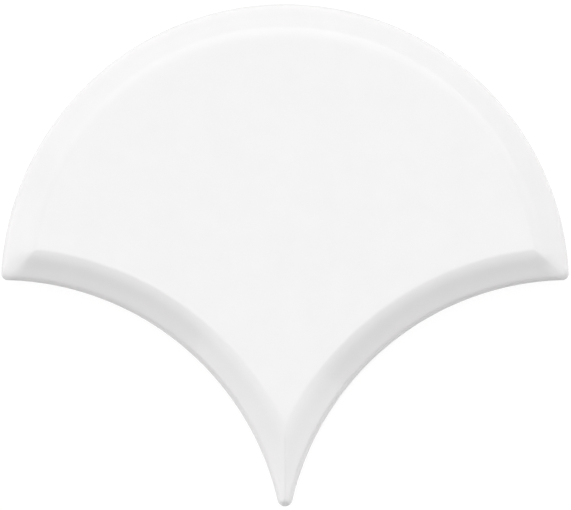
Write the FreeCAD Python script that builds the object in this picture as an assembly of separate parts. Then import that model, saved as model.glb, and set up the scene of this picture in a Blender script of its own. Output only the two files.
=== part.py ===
"""Fish scale wall tile: one dust-pressed ceramic piece with a bevelled, glazed face and a keyed back.

The tile lies on its back. X runs across the shoulders, Y from the tail to the head, Z out of the face.
The origin is on the bedding plane, in the middle of the box round the outline. Sizes are in millimetres.
"""

import FreeCAD, Part
import math
import os

Vector = FreeCAD.Vector

# Outline
head_radius = 60.0          # convex head, half the nominal width of 120
nest_clearance = 0.15       # a flank's radius, over that of the head that nests in it
shoulder_rise = 1.75        # top of the flank circles, over the centre of the head
shoulder_radius = 1.4       # corners where the head meets the flanks
tail_radius = 1.6           # blunt end where the flanks meet

# Section through the edge
thickness = 9.0             # bedding plane to flat field
bevel_width = 6.0           # side to the line where bevel and field would meet
bevel_drop = 3.0            # field to the line where bevel and side would meet
arris_radius = 2.0          # rounding between side and bevel
crown_radius = 6.5          # rounding between bevel and field
crown_corner_radius = 2.0   # corners of that second line, above the shoulders
tail_ridge_radius = 0.35    # rounding of the ridge where the flanks' bevels meet, above the tail
back_chamfer = 0.5          # broken edge round the bedding face

# Keying grooves of the back
back_margin = 6.0           # plain border round the grooves
margin_corner_radius = 2.0  # corners of that border
groove_pitch = 8.0
groove_width = 3.0          # at the bedding plane
groove_depth = 0.8
groove_draft_deg = 30.0     # lean of a groove's sides

# Number of steps that a rounding is lofted in
arc_steps = 4

# Derived sizes
flank_radius = head_radius + nest_clearance
flank_below_head = flank_radius - shoulder_rise
tail_rise = math.sqrt((flank_radius + tail_radius) ** 2 - flank_radius**2)
length = head_radius + flank_below_head - tail_rise + tail_radius
head_centre = Vector(0, length / 2 - head_radius, 0)
flank_centre = head_centre + Vector(flank_radius, -flank_below_head, 0)
edge_height = thickness - bevel_drop
slope = math.atan2(bevel_drop, bevel_width)
side_height = edge_height - arris_radius * (1 - math.sin(slope)) / math.cos(slope)


def unit(vector):
    """The direction of a vector."""
    return vector * (1 / vector.Length)


def mirrored(vector):
    """The same vector on the other side of the tile's middle plane."""
    return Vector(-vector.x, vector.y, vector.z)


def arc(centre, radius, *directions):
    """Edge round a centre, through a start, a middle and an end direction."""
    return Part.Arc(*[centre + direction * radius for direction in directions]).toShape()


def shoulder_centre(head, flank, radius):
    """Centre of the corner that touches the head circle from inside and the flank circle from outside."""
    from_head = head - radius
    from_flank = flank + radius
    span = flank_centre - head_centre
    along = (from_head**2 - from_flank**2 + span.Length**2) / (2 * span.Length)
    across = math.sqrt(from_head**2 - along**2)
    forward = unit(span)
    return head_centre + forward * along + Vector(-forward.y, forward.x, 0) * across


def outline(inset, height, shoulder, tail):
    """The tile's outline, moved inwards, as a closed wire of six tangent arcs with the given corner radii."""
    head = head_radius - inset
    flank = flank_radius + inset
    corner = shoulder_centre(head, flank, shoulder)
    end = Vector(0, flank_centre.y + math.sqrt((flank + tail) ** 2 - flank_radius**2), 0)

    up = Vector(0, 1, 0)
    to_head = unit(corner - head_centre)
    to_flank = unit(flank_centre - corner)
    corner_middle = unit(to_head + to_flank)
    to_tail = unit(end - flank_centre)
    flank_middle = unit(to_tail - to_flank)

    right_shoulder = (to_head, corner_middle, to_flank)
    right_flank = (-to_flank, flank_middle, to_tail)
    left_flank = [mirrored(direction) for direction in reversed(right_flank)]
    left_shoulder = [mirrored(direction) for direction in reversed(right_shoulder)]
    wire = Part.Wire(
        [
            arc(head_centre, head, mirrored(to_head), up, to_head),
            arc(corner, shoulder, *right_shoulder),
            arc(flank_centre, flank, *right_flank),
            arc(end, tail, -to_tail, -up, -mirrored(to_tail)),
            arc(mirrored(flank_centre), flank, *left_flank),
            arc(mirrored(corner), shoulder, *left_shoulder),
        ]
    )
    wire.translate(Vector(0, 0, height))
    return wire


def between(start, end, steps):
    """Evenly spaced values from start to end, both included."""
    return [start + (end - start) * step / steps for step in range(steps + 1)]


def edge_section():
    """Points of the arris, the straight bevel and the crown, as inset and height, from side to field."""
    bevel_normal = math.pi / 2 + slope
    arris = [
        (arris_radius * (1 + math.cos(angle)), side_height + arris_radius * math.sin(angle))
        for angle in between(math.pi, bevel_normal, arc_steps)
    ]
    crown_inset = bevel_width + crown_radius * math.tan(slope / 2)
    crown = [
        (crown_inset + crown_radius * math.cos(angle), thickness - crown_radius * (1 - math.sin(angle)))
        for angle in between(bevel_normal, math.pi / 2, arc_steps)
    ]
    bevel = [arris[-1], crown[0]]
    return arris, bevel, crown


def shoulder_at(inset):
    """Radius of a shoulder's corner, which goes evenly from its edge to the crown and stays so on the field."""
    return shoulder_radius + (crown_corner_radius - shoulder_radius) * min(1, inset / bevel_width)


def tail_at(inset):
    """Radius of the tail's corner, which shrinks as the outline moves inwards, down to that of the ridge."""
    return max(tail_radius - inset, tail_ridge_radius)


def slab():
    """The straight-sided lower part, from the bedding plane to the top of the side."""
    foot = outline(0, 0, shoulder_radius, tail_radius)
    block = Part.Face(foot).extrude(Vector(0, 0, side_height))
    foot_edges = [edge for edge in block.Edges if edge.BoundBox.ZMax < back_chamfer]
    return block.makeChamfer(back_chamfer, foot_edges)


def layer(points):
    """One layer of the upper part, lofted through the outlines at some points of the edge's section."""
    levels = [outline(inset, height, shoulder_at(inset), tail_at(inset)) for inset, height in points]
    return Part.makeLoft(levels, True, False)


def groove(y):
    """One keying groove across the back, with leaning sides."""
    half_mouth = groove_width / 2
    half_floor = half_mouth - groove_depth * math.tan(math.radians(groove_draft_deg))
    corners = [
        Vector(-head_radius, y - half_mouth, 0),
        Vector(-head_radius, y - half_floor, groove_depth),
        Vector(-head_radius, y + half_floor, groove_depth),
        Vector(-head_radius, y + half_mouth, 0),
    ]
    section = Part.Face(Part.makePolygon(corners + corners[:1]))
    return section.extrude(Vector(2 * head_radius, 0, 0))


def keying():
    """All the grooves inside the back's plain border, apart from any that is shorter than the pitch."""
    field = Part.Face(outline(back_margin, 0, margin_corner_radius, margin_corner_radius))
    count = math.ceil(length / 2 / groove_pitch)
    rows = [groove((row + 0.5) * groove_pitch) for row in range(-count, count)]
    grooves = Part.makeCompound(rows).common(field.extrude(Vector(0, 0, groove_depth))).Solids
    return Part.makeCompound([each for each in grooves if each.BoundBox.XLength > groove_pitch])


def tile():
    """The whole tile."""
    layers = [layer(points) for points in edge_section()]
    return slab().fuse(layers).cut(keying()).Solids[0]


os.makedirs("parts", exist_ok=True)
fish_scale_tile = tile()
fish_scale_tile.exportStep("parts/fish_scale_tile.step")
box = fish_scale_tile.optimalBoundingBox(False)
print("valid", fish_scale_tile.isValid(), "faces", len(fish_scale_tile.Faces))
print("box", [round(size, 2) for size in (box.XLength, box.YLength, box.ZLength)])
print("volume", round(fish_scale_tile.Volume))
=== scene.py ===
"""Looks of the white fish scale tile: glaze, bare clay, studio light and camera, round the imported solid.

The tile lies on its back. X runs across the shoulders, Y from the tail to the head, Z out of the face.
"""

import math

import bmesh
import bpy
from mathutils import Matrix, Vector, noise
from mathutils.geometry import delaunay_2d_cdt


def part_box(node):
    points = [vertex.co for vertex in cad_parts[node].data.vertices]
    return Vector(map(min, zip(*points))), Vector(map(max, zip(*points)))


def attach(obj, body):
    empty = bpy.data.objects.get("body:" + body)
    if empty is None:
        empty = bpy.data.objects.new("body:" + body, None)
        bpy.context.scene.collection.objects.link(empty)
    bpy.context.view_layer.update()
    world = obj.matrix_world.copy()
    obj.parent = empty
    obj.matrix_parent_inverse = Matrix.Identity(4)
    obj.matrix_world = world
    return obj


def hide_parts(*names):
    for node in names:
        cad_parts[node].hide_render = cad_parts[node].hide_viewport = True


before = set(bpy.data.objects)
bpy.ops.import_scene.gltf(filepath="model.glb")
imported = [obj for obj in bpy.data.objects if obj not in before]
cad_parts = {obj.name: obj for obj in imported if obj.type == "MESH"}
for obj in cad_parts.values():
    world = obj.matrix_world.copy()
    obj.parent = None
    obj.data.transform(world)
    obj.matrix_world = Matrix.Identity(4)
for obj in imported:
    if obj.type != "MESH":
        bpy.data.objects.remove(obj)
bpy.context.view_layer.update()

mm = 0.001
tile_node = "fish_scale_tile"
floor_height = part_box(tile_node)[0].z
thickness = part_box(tile_node)[1].z - floor_height

# Outline, as on the solid
head_radius = 60.0 * mm
flank_radius = 60.15 * mm
shoulder_rise = 1.75 * mm     # top of the flank circles, over the centre of the head
shoulder_radius = 1.4 * mm
tail_radius = 1.6 * mm

# Section through the edge, as on the solid
bevel_width = 6.0 * mm
bevel_drop = 3.0 * mm
arris_radius = 2.0 * mm
crown_radius = 6.5 * mm
back_chamfer = 0.5 * mm

# Corners of the glazed face: softer than the solid's on the shoulders' bevels, and crisper elsewhere
crown_corner_radius = 0.3 * mm
mitre_softness = 2.0 * mm     # added to a shoulder's corner where the bevel is softest
mitre_lean = 0.8              # 1 puts that place halfway up the bevel, less puts it lower
tail_ridge_radius = 0.15 * mm

# Keying grooves of the back, as on the solid
back_margin = 6.0 * mm
groove_pitch = 8.0 * mm
groove_width = 3.0 * mm
groove_depth = 0.8 * mm
groove_draft = math.radians(30)

# Glaze coat
bevel_dish = 0.05 * mm        # how far the glaze sags below a straight bevel
glaze_thickness = 0.12 * mm   # step from the glaze down to the bare clay of the sides
glaze_line = 2.3 * mm         # mean height of the coat's lower end
glaze_waver = 0.7 * mm        # how far that line strays, up or down
broad_wave = 14 * mm          # size of its broad waves
fine_wave = 4 * mm            # size of its fine waves
fine_share = 0.35             # height of the fine waves, as a share of the broad ones'
fine_start = Vector((0, 0, 7))   # place in the noise, away from the broad waves
glaze_lip = 0.35 * mm         # height over which the coat swells to its thickness
lip_share = 0.3               # share of that height, and of the thickness, where the lip turns

# Mesh: steps along each stretch, and limits
head_steps = 150
flank_steps = 110
shoulder_steps = 10
tail_steps = 10
side_steps = 5
arris_steps = 10
bevel_steps = 12
crown_steps = 14
field_steps = 16
groove_end_steps = 6
sharp_angle = math.radians(28)   # from which an edge isn't shaded smooth
merge_distance = 1e-9            # below which two points of the back are one
inside_only = 1                  # kind of triangulation that leaves out what is outside the outline

# Finish of glaze and clay, with noises as features per metre and levels of detail
noise_low = 0.3               # most of a noise's values lie from here
noise_high = 0.7              # to here
thin_glaze = (0.874, 0.864, 0.867, 1)
deep_glaze = (0.888, 0.878, 0.881, 1)
glaze_mottle = (160, 4)
glaze_gloss = (90, 2)
glaze_roughness = (0.07, 0.1)
glaze_ripple = (120, 1)
ripple_depth = 0.02 * mm
glaze_peel = (900, 2)
peel_depth = 0.001 * mm
dark_clay = (0.72, 0.67, 0.59, 1)
pale_clay = (0.82, 0.78, 0.71, 1)
clay_grain = (700, 6)
clay_roughness = (0.8, 0.95)
clay_pits = (2500, 4)
pit_depth = 0.05 * mm

# Floor
floor_reach = 3.0
floor_gap = 0.02 * mm         # so that the paper and the tile's back don't share a plane
paper_bounce = 0.65           # share of the light that the paper throws back on the tile
paper_shade = 0.12            # part of the shown paper that a shadow can darken
paper_glow = 0.92             # steady part, which brings the shown paper just over white

# Light tent: places as degrees off the lens
tent_radius = 3.0
panel_step = 5                # degrees between a panel's mesh points
lens_reach = 12.3             # light round the lens
roof_start = 13.5             # bright roof, which the crown by the head mirrors
roof_reach = 50.5             # grey band below it
side_reach = 62.5             # low strips
horizon = 90

# Light tent: places as degrees round the lens from +X
right_start = -39             # from the dark front to the right side
right_step_start = -22        # low strip there, which goes up from the dark front in a step
right_strip_start = -13
back_start = 3                # from the right side to the back
grey_start = 18               # right end of the grey band
back_strip_end = 120          # end of the low strip behind the head
back_end = 162                # from the back to the left side
left_strip_end = 203.5        # low strip there, which goes down to the dark front in a step
left_step_end = 214
left_end = 228.5              # from the left side to the dark front
full_turn = 360

# Light tent: radiances, where a white surface in plain light has 1
tent_radiance = 1.0           # of the plain white cloth
lens_radiance = 2.05
roof_radiance = 1.69
grey_radiance = 0.3
grey_end_radiance = 0.72
back_strip_radiance = 1.1
left_radiance = 1.36
left_strip_radiance = 2.0
right_radiance = 1.48
right_strip_radiance = 2.8
step_radiance = 0.9
dark = 0

# Camera, framed as the photograph is
picture_width = 571           # pixels
pixels_per_mm = 4.735         # at the height of the tile's edge
sensor_width = 36             # millimetres, as Blender counts them
camera_height = 1.2
camera_offset = (0.1 * mm, 0.07 * mm)   # from the middle of the tile
camera_sight = 10.0

# Derived sizes
flank_below_head = flank_radius - shoulder_rise
tail_rise = math.sqrt((flank_radius + tail_radius) ** 2 - flank_radius**2)
length = head_radius + flank_below_head - tail_rise + tail_radius
head_centre = Vector((0, length / 2 - head_radius))
flank_centre = head_centre + Vector((flank_radius, -flank_below_head))
slope = math.atan2(bevel_drop, bevel_width)
side_top = thickness - bevel_drop - arris_radius * (1 - math.sin(slope)) / math.cos(slope)
foot_inset = back_chamfer + glaze_thickness   # from the outline to the edge of the flat back

# Innermost point: over the head's centre, and as far inside the head as outside the flanks
nest_span = flank_radius + head_radius
nest_excess = nest_span**2 - flank_radius**2 - flank_below_head**2
middle_rise = nest_excess / (2 * (nest_span + flank_below_head))
largest_inset = head_radius - middle_rise   # at which the outline shrinks to that point


def between(start, end, steps):
    """Evenly spaced values from start to end, both included."""
    return [start + (end - start) * step / steps for step in range(steps + 1)]


def arc(centre, radius, start, end, steps):
    """Points round a centre, from one angle to another."""
    return [centre + radius * Vector((math.cos(a), math.sin(a))) for a in between(start, end, steps)]


def angle_of(direction):
    """Angle of a direction, from +X."""
    return math.atan2(direction.y, direction.x)


def raised(points, height):
    """Points of the plane, put at a height."""
    return [Vector((point.x, point.y, height)) for point in points]


def shoulder_centre(head, flank, radius):
    """Centre of the corner that touches the head circle from inside and the flank circle from outside."""
    span = flank_centre - head_centre
    along = ((head - radius) ** 2 - (flank + radius) ** 2 + span.length_squared) / (2 * span.length)
    across = math.sqrt((head - radius) ** 2 - along**2)
    forward = span.normalized()
    return head_centre + forward * along + Vector((-forward.y, forward.x)) * across


def outline(inset, shoulder, tail):
    """The tile's outline, moved inwards, as points that run round it from the tail by the right flank."""
    head = head_radius - inset
    flank = flank_radius + inset
    corner = shoulder_centre(head, flank, shoulder)
    end = Vector((0, flank_centre.y + math.sqrt((flank + tail) ** 2 - flank_radius**2)))
    to_flank = flank_centre - corner
    to_tail = end - flank_centre
    right = arc(end, tail, -math.pi / 2, angle_of(-to_tail), tail_steps)
    right += arc(flank_centre, flank, angle_of(to_tail), angle_of(-to_flank), flank_steps)[1:]
    right += arc(corner, shoulder, angle_of(to_flank), angle_of(corner - head_centre), shoulder_steps)[1:]
    right += arc(head_centre, head, angle_of(corner - head_centre), math.pi / 2, head_steps)[1:]
    left = [Vector((-point.x, point.y)) for point in reversed(right[1:-1])]
    return right + left


def field_share(inset):
    """1 on the bevel, and over the field evenly down to 0 where the outline shrinks to a point."""
    return min(1, (largest_inset - inset) / (largest_inset - bevel_width))


def shoulder_at(inset):
    """Radius of a shoulder's corner on the face, which swells on the bevel between edge and crown."""
    share = min(1, inset / bevel_width)
    even = shoulder_radius + (crown_corner_radius - shoulder_radius) * share
    swell = mitre_softness * math.sin(math.pi * share**mitre_lean)
    return (even + swell) * field_share(inset)


def tail_at(inset):
    """Radius of the tail's corner, which shrinks as the outline moves inwards, down to the ridge's."""
    return max(tail_radius - inset, tail_ridge_radius) * field_share(inset)


def side_ring(inset, height):
    """One loop of the tile's side or foot, at an inset and a height."""
    return raised(outline(inset, shoulder_radius, tail_at(inset)), height)


def face_ring(inset, height):
    """One loop of the tile's face, at an inset and a height."""
    return raised(outline(inset, shoulder_at(inset), tail_at(inset)), height)


def face_section():
    """Inset and height of the skin from the side's top, over arris, bevel and crown, to the field."""
    bevel_normal = math.pi / 2 + slope
    arris = [
        (arris_radius * (1 + math.cos(a)), side_top + arris_radius * math.sin(a))
        for a in between(math.pi, bevel_normal, arris_steps)
    ]
    crown_inset = bevel_width + crown_radius * math.tan(slope / 2)
    crown = [
        (crown_inset + crown_radius * math.cos(a), thickness - crown_radius * (1 - math.sin(a)))
        for a in between(bevel_normal, math.pi / 2, crown_steps)
    ]
    insets = between(arris[-1][0], crown[0][0], bevel_steps)
    heights = between(arris[-1][1], crown[0][1], bevel_steps)
    sags = [bevel_dish * math.sin(math.pi * share) ** 2 for share in between(0, 1, bevel_steps)]
    bevel = [(inset, height - sag) for inset, height, sag in zip(insets, heights, sags)]
    return arris + bevel[1:-1] + crown


def glaze_end(point):
    """Height at which the glaze ends on the side, at a point of the outline."""
    place = Vector((point.x, point.y, 0))
    broad = noise.noise(place / broad_wave)
    fine = noise.noise(place / fine_wave + fine_start)
    return glaze_line + glaze_waver * (broad + fine_share * fine)


def glaze_ring(inset, ends, rise):
    """One loop of the side that follows the glaze's lower end, at an inset and a rise above it."""
    return [Vector((point.x, point.y, end + rise)) for point, end in zip(side_ring(inset, 0), ends)]


def side_rings():
    """Loops of the side: bare clay from the back's broken edge up to the glaze line, then the glaze."""
    foot = side_ring(glaze_thickness, back_chamfer)
    ends = [glaze_end(point) for point in foot]
    under = glaze_ring(glaze_thickness, ends, 0)
    lip = glaze_ring(glaze_thickness * lip_share, ends, glaze_lip * lip_share)
    coat = glaze_ring(0, ends, glaze_lip)
    return foot, under, lip, coat


def groove_half_length(y):
    """Half the width of the keyed part of the back at a place along the tile, or 0 outside it."""
    head = head_radius - back_margin
    flank = flank_radius + back_margin
    if abs(y - head_centre.y) >= head:
        return 0
    half = math.sqrt(head**2 - (y - head_centre.y) ** 2)
    rise = y - flank_centre.y
    if rise < flank:
        half = min(half, flank_radius - math.sqrt(flank**2 - rise**2))
    return max(half, 0)


def groove_rows():
    """Middle lines of the keying grooves that are longer than the pitch."""
    count = math.ceil(length / 2 / groove_pitch)
    rows = [(row + 0.5) * groove_pitch for row in range(-count, count)]
    return [y for y in rows if groove_half_length(y) > groove_pitch / 2]


def groove_loop(y, half_width, height):
    """Loop round a groove at a height above the back, the right way round seen from above."""
    ends = [y + half_width * share for share in between(-1, 1, groove_end_steps)]
    right = [Vector((groove_half_length(end), end, height)) for end in ends]
    left = [Vector((-point.x, point.y, point.z)) for point in reversed(right)]
    return right + left


def in_groove(point):
    """Whether a point of the back lies in the mouth of a groove."""
    in_row = any(abs(point.y - y) < groove_width / 2 for y in groove_rows())
    return in_row and abs(point.x) < groove_half_length(point.y)


def add_loop(mesh, points):
    """New points of the mesh."""
    return [mesh.verts.new(point) for point in points]


def bridge(mesh, lower, upper, material):
    """Band of faces between two loops of the same count."""
    for index in range(len(lower)):
        corners = (lower[index - 1], lower[index], upper[index], upper[index - 1])
        mesh.faces.new(corners).material_index = material


def add_bands(mesh, loops, material):
    """Bands of faces from each loop to the next."""
    for lower, upper in zip(loops, loops[1:]):
        bridge(mesh, lower, upper, material)


def loop_edges(loops):
    """Edges round each loop, as places in the list of all the loops' points."""
    edges = []
    start = 0
    for loop in loops:
        count = len(loop)
        edges += [(start + index, start + (index + 1) % count) for index in range(count)]
        start += count
    return edges


def add_grooves(mesh, material):
    """Sides and floors of the keying grooves, whose mouths it gives as loops."""
    half_mouth = groove_width / 2
    half_floor = half_mouth - groove_depth * math.tan(groove_draft)
    mouths = []
    for y in groove_rows():
        mouth = add_loop(mesh, groove_loop(y, half_mouth, 0))
        floor = add_loop(mesh, groove_loop(y, half_floor, groove_depth))
        bridge(mesh, floor, mouth, material)
        mesh.faces.new(list(reversed(floor))).material_index = material
        mouths.append(mouth)
    return mouths


def add_back(mesh, foot, material):
    """The flat of the back, with its grooves sunk into it."""
    loops = [foot] + add_grooves(mesh, material)
    verts = [vert for loop in loops for vert in loop]
    flat = [vert.co.xy for vert in verts]
    triangles = delaunay_2d_cdt(flat, loop_edges(loops), [], inside_only, merge_distance)[2]
    for triangle in triangles:
        middle = sum((flat[index] for index in triangle), Vector((0, 0))) / len(triangle)
        if not in_groove(middle):
            mesh.faces.new([verts[index] for index in reversed(triangle)]).material_index = material


def tile_mesh():
    """The whole tile as one closed mesh: slot 0 is glaze, slot 1 bare clay."""
    mesh = bmesh.new()
    glaze, clay = 0, 1
    foot, under, lip, coat = (add_loop(mesh, points) for points in side_rings())
    sole = add_loop(mesh, side_ring(foot_inset, 0))
    add_bands(mesh, [sole, foot, under], clay)
    face = face_section()
    side = [
        add_loop(mesh, [v.co.lerp(Vector((v.co.x, v.co.y, side_top)), share) for v in coat])
        for share in between(0, 1, side_steps)[1:]
    ]
    upper = [add_loop(mesh, face_ring(inset, height)) for inset, height in face[1:]]
    field_insets = between(face[-1][0], largest_inset, field_steps)[1:-1]
    field = [add_loop(mesh, face_ring(inset, thickness)) for inset in field_insets]
    add_bands(mesh, [under, lip, coat] + side + upper + field, glaze)
    mesh.faces.new(field[-1]).material_index = glaze
    add_back(mesh, sole, clay)
    data = bpy.data.meshes.new("glazed_tile")
    mesh.to_mesh(data)
    mesh.free()
    data.shade_smooth()
    data.set_sharp_from_angle(angle=sharp_angle)
    return data


def new_material(name):
    """A material, with its node tree and its main shader."""
    material = bpy.data.materials.new(name)
    material.use_nodes = True
    tree = material.node_tree
    return material, tree, tree.nodes["Principled BSDF"]


def object_noise(tree, scale, detail):
    """Noise fixed to the tile, of so many features per metre and levels of detail."""
    place = tree.nodes.new("ShaderNodeTexCoord")
    texture = tree.nodes.new("ShaderNodeTexNoise")
    texture.inputs["Scale"].default_value = scale
    texture.inputs["Detail"].default_value = detail
    tree.links.new(place.outputs["Object"], texture.inputs["Vector"])
    return texture.outputs["Fac"]


def ramp(tree, value, low, high):
    """A noise value, as a colour from low to high."""
    node = tree.nodes.new("ShaderNodeValToRGB")
    first, last = node.color_ramp.elements
    first.position = noise_low
    first.color = low
    last.position = noise_high
    last.color = high
    tree.links.new(value, node.inputs["Fac"])
    return node.outputs["Color"]


def remap(tree, value, low, high):
    """A noise value, spread from low to high."""
    node = tree.nodes.new("ShaderNodeMapRange")
    node.inputs["From Min"].default_value = noise_low
    node.inputs["From Max"].default_value = noise_high
    node.inputs["To Min"].default_value = low
    node.inputs["To Max"].default_value = high
    tree.links.new(value, node.inputs["Value"])
    return node.outputs["Result"]


def bump(tree, height, distance, below=None):
    """Surface relief of a given depth, over another one."""
    node = tree.nodes.new("ShaderNodeBump")
    node.inputs["Distance"].default_value = distance
    tree.links.new(height, node.inputs["Height"])
    if below is not None:
        tree.links.new(below, node.inputs["Normal"])
    return node.outputs["Normal"]


def grey(value):
    """A colour without hue."""
    return (value, value, value, 1)


def glaze_material():
    """White gloss glaze: faintly mottled, with a slightly rippled, slightly uneven gloss."""
    material, tree, shader = new_material("white_glaze")
    mottle = object_noise(tree, *glaze_mottle)
    tree.links.new(ramp(tree, mottle, thin_glaze, deep_glaze), shader.inputs["Base Color"])
    gloss = object_noise(tree, *glaze_gloss)
    tree.links.new(remap(tree, gloss, *glaze_roughness), shader.inputs["Roughness"])
    ripple = bump(tree, object_noise(tree, *glaze_ripple), ripple_depth)
    peel = bump(tree, object_noise(tree, *glaze_peel), peel_depth, ripple)
    tree.links.new(peel, shader.inputs["Normal"])
    return material


def clay_material():
    """Bare fired clay: off-white, grainy and matt, with fine pits."""
    material, tree, shader = new_material("fired_clay")
    grain = object_noise(tree, *clay_grain)
    tree.links.new(ramp(tree, grain, dark_clay, pale_clay), shader.inputs["Base Color"])
    tree.links.new(remap(tree, grain, *clay_roughness), shader.inputs["Roughness"])
    pits = bump(tree, object_noise(tree, *clay_pits), pit_depth)
    tree.links.new(pits, shader.inputs["Normal"])
    return material


def add_object(name, data):
    """A new object of the scene."""
    made = bpy.data.objects.new(name, data)
    bpy.context.scene.collection.objects.link(made)
    return made


def add_tile():
    """The dressed tile, in place of the solid."""
    tile = add_object("glazed_tile", tile_mesh())
    tile.data.materials.append(glaze_material())
    tile.data.materials.append(clay_material())
    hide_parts(tile_node)
    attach(tile, "root")


def seen_directly(tree):
    """1 for what the camera, a reflection or glass shows, and 0 for light that falls on things."""
    path = tree.nodes.new("ShaderNodeLightPath")
    total = path.outputs["Is Camera Ray"]
    for name in ("Is Glossy Ray", "Is Transmission Ray"):
        larger = tree.nodes.new("ShaderNodeMath")
        larger.operation = "MAXIMUM"
        tree.links.new(total, larger.inputs[0])
        tree.links.new(path.outputs[name], larger.inputs[1])
        total = larger.outputs[0]
    return total


def mixed(tree, share, first, second):
    """Two shaders, mixed by a share of the second."""
    mix = tree.nodes.new("ShaderNodeMixShader")
    tree.links.new(share, mix.inputs[0])
    tree.links.new(first.outputs[0], mix.inputs[1])
    tree.links.new(second.outputs[0], mix.inputs[2])
    return mix


def floor_material():
    """White paper: it shows white, darkens a little in the tile's shadow, and throws some light back.

    From below it is clear, so that the tile's back can be looked at.
    """
    material, tree, shader = new_material("white_paper")
    tree.nodes.remove(shader)
    paper = tree.nodes.new("ShaderNodeBsdfDiffuse")
    paper.inputs["Color"].default_value = grey(paper_bounce)
    shade = tree.nodes.new("ShaderNodeBsdfDiffuse")
    shade.inputs["Color"].default_value = grey(paper_shade)
    glow = tree.nodes.new("ShaderNodeEmission")
    glow.inputs["Strength"].default_value = paper_glow
    shown = tree.nodes.new("ShaderNodeAddShader")
    tree.links.new(shade.outputs[0], shown.inputs[0])
    tree.links.new(glow.outputs[0], shown.inputs[1])
    upper = mixed(tree, seen_directly(tree), paper, shown)
    lower = tree.nodes.new("ShaderNodeBsdfTransparent")
    from_below = tree.nodes.new("ShaderNodeNewGeometry").outputs["Backfacing"]
    both = mixed(tree, from_below, upper, lower)
    tree.links.new(both.outputs[0], tree.nodes["Material Output"].inputs["Surface"])
    return material


def glow_material(name):
    """Glow of the strength that a panel's points hold."""
    material, tree, shader = new_material(name)
    tree.nodes.remove(shader)
    held = tree.nodes.new("ShaderNodeAttribute")
    held.attribute_name = "radiance"
    glow = tree.nodes.new("ShaderNodeEmission")
    tree.links.new(held.outputs["Fac"], glow.inputs["Strength"])
    tree.links.new(glow.outputs[0], tree.nodes["Material Output"].inputs["Surface"])
    return material


def add_stage(name, points, faces, material):
    """A sheet of the studio, which isn't part of the tile."""
    data = bpy.data.meshes.new(name)
    data.from_pydata(points, [], faces)
    data.materials.append(material)
    made = add_object(name, data)
    return made


def add_floor():
    """Paper round the tile's foot, with a window under it that lets light on the tile's back."""
    height = floor_height - floor_gap
    window = side_ring(foot_inset, height)
    rim = raised([point.xy.normalized() * floor_reach for point in window], height)
    count = len(window)
    faces = [(count + i, count + (i + 1) % count, (i + 1) % count, i) for i in range(count)]
    add_stage("paper_floor", window + rim, faces, floor_material())


def tent_point(tilt, turn):
    """Point of the tent at an angle off the lens and an angle round it."""
    tilt = math.radians(tilt)
    turn = math.radians(turn)
    direction = Vector((math.sin(tilt) * math.cos(turn), math.sin(tilt) * math.sin(turn), math.cos(tilt)))
    return direction * tent_radius + Vector((0, 0, floor_height + thickness))


def grid_faces(rows, columns):
    """Faces of a grid of points that are listed row by row."""
    faces = []
    for row in range(rows):
        near = row * (columns + 1)
        far = near + columns + 1
        faces += [(near + i, near + i + 1, far + i + 1, far + i) for i in range(columns)]
    return faces


def add_panel(name, tilts, turns, radiance, ends=None):
    """Panel of the tent that glows, or is dark, and isn't in the picture. It can fade to its ends."""
    ends = radiance if ends is None else ends
    columns = math.ceil((turns[1] - turns[0]) / panel_step)
    rows = math.ceil((tilts[1] - tilts[0]) / panel_step)
    points = [
        tent_point(tilt, turn)
        for tilt in between(*tilts, rows)
        for turn in between(*turns, columns)
    ]
    row_radiances = [
        ends + (radiance - ends) * math.sin(math.pi * share)
        for share in between(0, 1, columns)
    ]
    panel = add_stage(name, points, grid_faces(rows, columns), glow_material(name))
    held = panel.data.attributes.new("radiance", "FLOAT", "POINT")
    held.data.foreach_set("value", row_radiances * (rows + 1))
    panel.visible_camera = False


def add_world():
    """Plain white cloth of the tent."""
    world = bpy.data.worlds.new("white_tent")
    world.use_nodes = True
    cloth = world.node_tree.nodes["Background"]
    cloth.inputs["Color"].default_value = grey(1)
    cloth.inputs["Strength"].default_value = tent_radiance
    bpy.context.scene.world = world


def add_lights():
    """White tent with a bright roof by the head, a grey band below that, low strips and a dark front."""
    add_world()
    roof = (roof_start, roof_reach)
    band = (roof_reach, side_reach)
    sides = (lens_reach, side_reach)
    strips = (side_reach, horizon)
    add_panel("lens_light", (0, lens_reach), (0, full_turn), lens_radiance)
    add_panel("roof_light", roof, (back_start, back_end), roof_radiance, ends=tent_radiance)
    add_panel("grey_back", band, (grey_start, back_end), grey_radiance, ends=grey_end_radiance)
    add_panel("back_strip", strips, (back_start, back_strip_end), back_strip_radiance)
    add_panel("left_light", sides, (back_end, left_end), left_radiance)
    add_panel("left_strip", strips, (back_end, left_strip_end), left_strip_radiance)
    add_panel("left_step", strips, (left_strip_end, left_step_end), step_radiance)
    add_panel("right_light", sides, (right_start, back_start), right_radiance)
    add_panel("right_strip", strips, (right_strip_start, back_start), right_strip_radiance)
    add_panel("right_step", strips, (right_step_start, right_strip_start), step_radiance)
    add_panel("dark_front", sides, (left_end, full_turn + right_start), dark)
    add_panel("dark_front_strip", strips, (left_step_end, full_turn + right_step_start), dark)


def add_camera():
    """Long lens, straight over the tile."""
    data = bpy.data.cameras.new("camera")
    data.sensor_width = sensor_width
    seen_width = picture_width / pixels_per_mm * mm
    data.lens = sensor_width * (camera_height - side_top) / seen_width
    data.clip_end = camera_sight
    camera = add_object("camera", data)
    camera.location = (*camera_offset, camera_height)
    bpy.context.scene.camera = camera


add_tile()
add_floor()
add_lights()
add_camera()
bpy.context.scene.view_settings.view_transform = "Standard"
